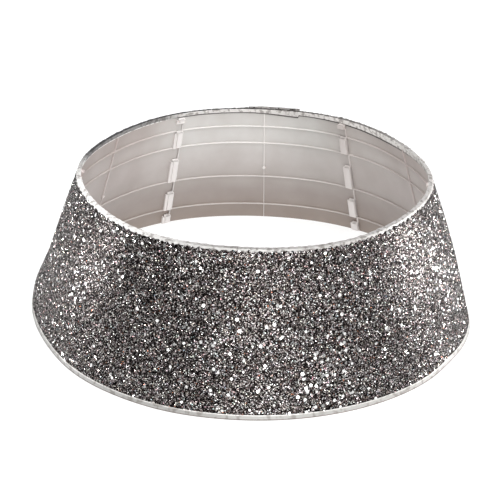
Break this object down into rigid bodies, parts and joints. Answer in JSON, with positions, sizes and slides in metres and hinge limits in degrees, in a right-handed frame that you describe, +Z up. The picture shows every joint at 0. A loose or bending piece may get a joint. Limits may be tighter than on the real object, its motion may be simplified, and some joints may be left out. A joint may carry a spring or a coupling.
{
  "type": "christmas tree collar",
  "caption": "Tapered ring of clip-together plastic wall panels in a glitter cloth cover with silver edges and a peel-open closure, to hide the foot of a Christmas tree.",
  "frame": {"origin": "on the floor, at the centre of the ring's base", "axes": "+Z up, +Y to the back, where the cover closes, +X to the right seen from the front"},
  "size_m": [0.7116, 0.7139, 0.2366],
  "materials": {
    "panel_plastic": "satin translucent white moulding",
    "glitter_cloth": "coarse silver and grey glitter",
    "silver_tape": "shiny silver binding tape",
    "hook_and_loop": "white hook and loop tape"
  },
  "bodies": {
    "frame": {"frame_panel_1": "panel_plastic", "frame_panel_2": "panel_plastic", "frame_panel_3": "panel_plastic", "frame_panel_4": "panel_plastic", "frame_panel_5": "panel_plastic", "frame_panel_6": "panel_plastic"},
    "cover": {"glitter_cover": "glitter_cloth", "top_binding": "silver_tape", "bottom_binding": "silver_tape", "loop_strip": "hook_and_loop"},
    "closure_flap": {"closure_flap": "glitter_cloth", "flap_top_binding": "silver_tape", "flap_bottom_binding": "silver_tape", "hook_strip": "hook_and_loop"}
  },
  "joints": [
    {"name": "cover_lift", "type": "slide", "parent": "frame", "child": "cover", "axis": [0, 0, 1], "range_m": [0, 0.26]},
    {"name": "flap_peel", "type": "hinge", "parent": "cover", "child": "closure_flap", "pos_m": [-0.015, 0.31812, 0.1183], "axis": [0.0152, -0.323, 0.9463], "range_deg": [0, 150]}
  ]
}
